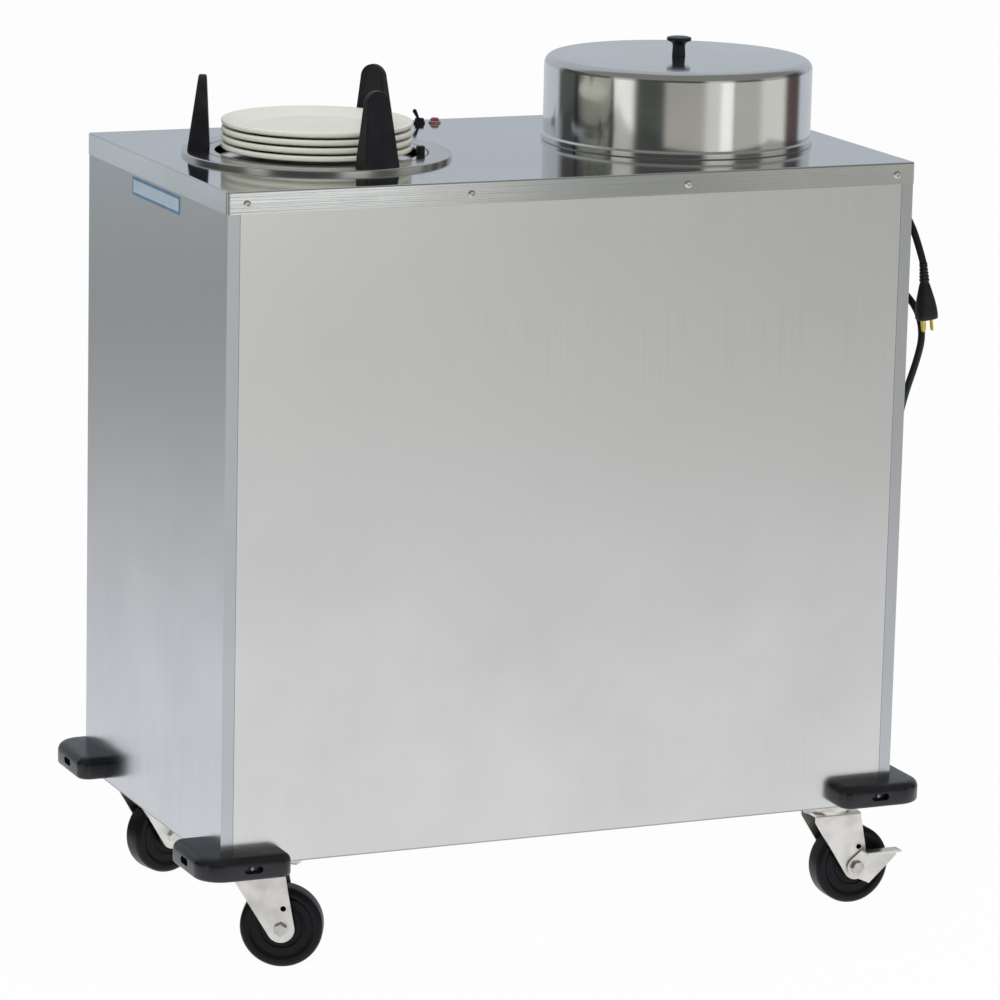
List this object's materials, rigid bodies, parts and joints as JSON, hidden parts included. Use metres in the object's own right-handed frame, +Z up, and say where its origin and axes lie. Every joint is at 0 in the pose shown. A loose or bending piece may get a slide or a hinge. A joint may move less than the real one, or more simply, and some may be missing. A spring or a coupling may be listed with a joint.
{
  "type": "plate dispenser cart",
  "caption": "Heated cabinet cart on swivel casters with sunken spring-loaded plate silos, guide posts, a round lift-off cover, corner bumpers and a mains cord.",
  "frame": {"origin": "on the floor, under the middle of the cabinet", "axes": "+X along the cabinet's length towards the end with the cord, +Y to the rear, +Z up"},
  "size_m": [1.0503, 0.565, 1.091],
  "materials": {
    "stainless": "satin brushed stainless sheet",
    "panel_sheet": "fine brushed stainless sheet, warm reflections",
    "bumper_rubber": "matte moulded rubber",
    "wheel_rubber": "smooth black rubber, slight sheen",
    "zinc": "zinc plated pressed steel",
    "black_plastic": "moulded, low sheen",
    "ceramic": "glazed cream china, opaque",
    "spring_steel": "bright wound wire",
    "cord_jacket": "smooth matte jacket",
    "brass": "bright stamped brass",
    "heater_sheath": "dark heat-stained sheath",
    "pilot_red": "dark red lens",
    "galvanised": "plain mill finish"
  },
  "bodies": {
    "cabinet": {"top_deck": "stainless", "front_panel": "panel_sheet", "rear_panel": "panel_sheet", "left_end_panel": "panel_sheet", "right_end_panel": "panel_sheet", "base_pan": "galvanised", "caster_channels": "galvanised", "deck_screws": "stainless", "bumper_screws": "zinc", "caster_bolts": "zinc", "silo_latches": "black_plastic", "heaters": "heater_sheath", "heater_brackets": "galvanised", "control_box": "galvanised", "switch_body": "black_plastic", "pilot_light": "pilot_red", "cord_hook": "stainless", "cord_gland": "black_plastic", "cord_lead": "cord_jacket", "cord_coil": "cord_jacket", "cord_tail": "cord_jacket", "plug": "cord_jacket", "plug_blades": "brass", "bumper_front_left": "bumper_rubber", "caster_plate_front_left": "zinc", "bumper_front_right": "bumper_rubber", "caster_plate_front_right": "zinc", "bumper_rear_left": "bumper_rubber", "caster_plate_rear_left": "zinc", "bumper_rear_right": "bumper_rubber", "caster_plate_rear_right": "zinc", "silo_tube_left": "stainless", "silo_ring_left": "stainless", "guides_left": "black_plastic", "springs_left": "spring_steel", "silo_tube_right": "stainless", "silo_ring_right": "stainless", "guides_right": "black_plastic", "springs_right": "spring_steel"},
    "swivel_front_left": {"fork_front_left": "zinc", "axle_front_left": "zinc"},
    "wheel_front_left": {"wheel_front_left": "wheel_rubber"},
    "swivel_front_right": {"fork_front_right": "zinc", "axle_front_right": "zinc"},
    "wheel_front_right": {"wheel_front_right": "wheel_rubber"},
    "brake_front_right": {"brake_lever_front_right": "zinc"},
    "swivel_rear_left": {"fork_rear_left": "zinc", "axle_rear_left": "zinc"},
    "wheel_rear_left": {"wheel_rear_left": "wheel_rubber"},
    "swivel_rear_right": {"fork_rear_right": "zinc", "axle_rear_right": "zinc"},
    "wheel_rear_right": {"wheel_rear_right": "wheel_rubber"},
    "brake_rear_right": {"brake_lever_rear_right": "zinc"},
    "carrier_left": {"carrier_left": "stainless", "plates": "ceramic"},
    "carrier_right": {"carrier_right": "stainless"},
    "cover": {"cover": "stainless", "cover_knob": "black_plastic"},
    "switch_lever": {"switch_lever": "black_plastic"}
  },
  "joints": [
    {"name": "caster_swivel_front_left", "type": "hinge", "parent": "cabinet", "child": "swivel_front_left", "pos_m": [-0.389, -0.203, 0.1214], "axis": [0, 0, 1], "continuous": true},
    {"name": "wheel_spin_front_left", "type": "hinge", "parent": "swivel_front_left", "child": "wheel_front_left", "pos_m": [-0.36024, -0.21703, 0.0508], "axis": [0.4384, 0.8988, 0], "continuous": true},
    {"name": "caster_swivel_front_right", "type": "hinge", "parent": "cabinet", "child": "swivel_front_right", "pos_m": [0.389, -0.203, 0.1214], "axis": [0, 0, 1], "continuous": true},
    {"name": "wheel_spin_front_right", "type": "hinge", "parent": "swivel_front_right", "child": "wheel_front_right", "pos_m": [0.421, -0.203, 0.0508], "axis": [0, 1, 0], "continuous": true},
    {"name": "brake_lever_turn_front_right", "type": "hinge", "parent": "swivel_front_right", "child": "brake_front_right", "pos_m": [0.421, -0.203, 0.0508], "axis": [0, 1, 0], "range_deg": [0, 18]},
    {"name": "caster_swivel_rear_left", "type": "hinge", "parent": "cabinet", "child": "swivel_rear_left", "pos_m": [-0.389, 0.203, 0.1214], "axis": [0, 0, 1], "continuous": true},
    {"name": "wheel_spin_rear_left", "type": "hinge", "parent": "swivel_rear_left", "child": "wheel_rear_left", "pos_m": [-0.35795, 0.21074, 0.0508], "axis": [-0.2419, 0.9703, 0], "continuous": true},
    {"name": "caster_swivel_rear_right", "type": "hinge", "parent": "cabinet", "child": "swivel_rear_right", "pos_m": [0.389, 0.203, 0.1214], "axis": [0, 0, 1], "continuous": true},
    {"name": "wheel_spin_rear_right", "type": "hinge", "parent": "swivel_rear_right", "child": "wheel_rear_right", "pos_m": [0.41163, 0.22563, 0.0508], "axis": [-0.7071, 0.7071, 0], "continuous": true},
    {"name": "brake_lever_turn_rear_right", "type": "hinge", "parent": "swivel_rear_right", "child": "brake_rear_right", "pos_m": [0.41163, 0.22563, 0.0508], "axis": [-0.7071, 0.7071, 0], "range_deg": [0, 18]},
    {"name": "carrier_slide_left", "type": "slide", "parent": "cabinet", "child": "carrier_left", "axis": [0, 0, 1], "range_m": [-0.48, 0], "stiffness_N_per_m": 778, "springref_m": 0.06, "deforming": ["springs_left"]},
    {"name": "carrier_slide_right", "type": "slide", "parent": "cabinet", "child": "carrier_right", "axis": [0, 0, 1], "range_m": [-0.48, 0], "stiffness_N_per_m": 778, "springref_m": 0.06, "deforming": ["springs_right"]},
    {"name": "cover_lift", "type": "slide", "parent": "cabinet", "child": "cover", "axis": [0, 0, 1], "range_m": [0, 0.2]},
    {"name": "switch_flip", "type": "hinge", "parent": "cabinet", "child": "switch_lever", "pos_m": [-0.0175, 0.216, 0.9635], "axis": [0, 1, 0], "range_deg": [0, 56]}
  ]
}
